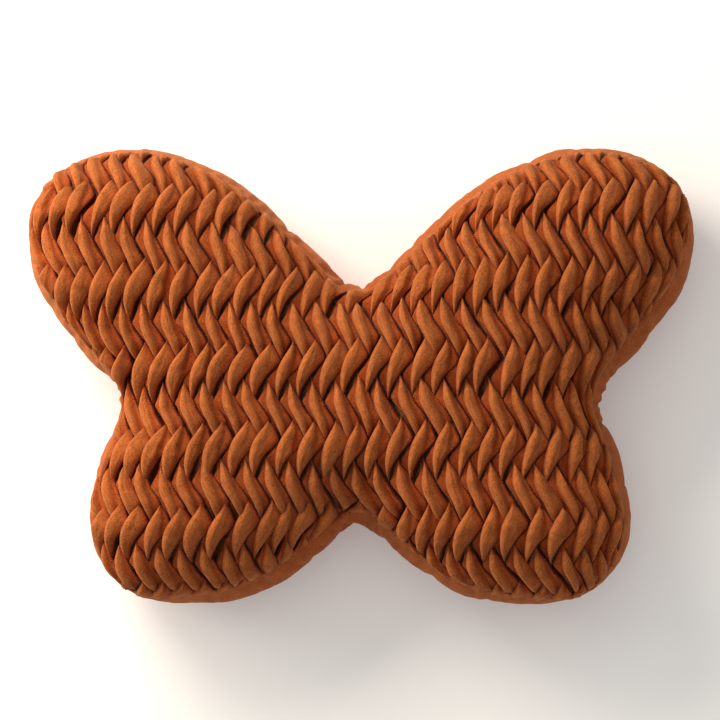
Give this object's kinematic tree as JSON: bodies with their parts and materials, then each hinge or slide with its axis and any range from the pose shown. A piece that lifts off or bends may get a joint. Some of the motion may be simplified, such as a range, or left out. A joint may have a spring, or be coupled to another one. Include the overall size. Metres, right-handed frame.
{
  "type": "butterfly cushion",
  "caption": "Butterfly-shaped filled cushion with a smocked velvet front, a plain side band and a plain back, lying on its back.",
  "frame": {"origin": "centre of the bounding box's underside, on the surface that the cushion lies on", "axes": "+X towards the right wing as the front is seen, +Y towards the tops of the wings, +Z out of the smocked front"},
  "size_m": [0.4998, 0.3384, 0.1203],
  "materials": {
    "plain_velvet": "rust polyester velvet, short cut pile, matt with a soft sheen at grazing angles",
    "smocked_velvet": "rust polyester velvet smocked in a braid pattern, matt with a soft sheen at grazing angles"
  },
  "bodies": {
    "root": {"filled_back": "plain_velvet", "side_band": "plain_velvet", "smocked_front": "smocked_velvet"}
  },
  "joints": []
}
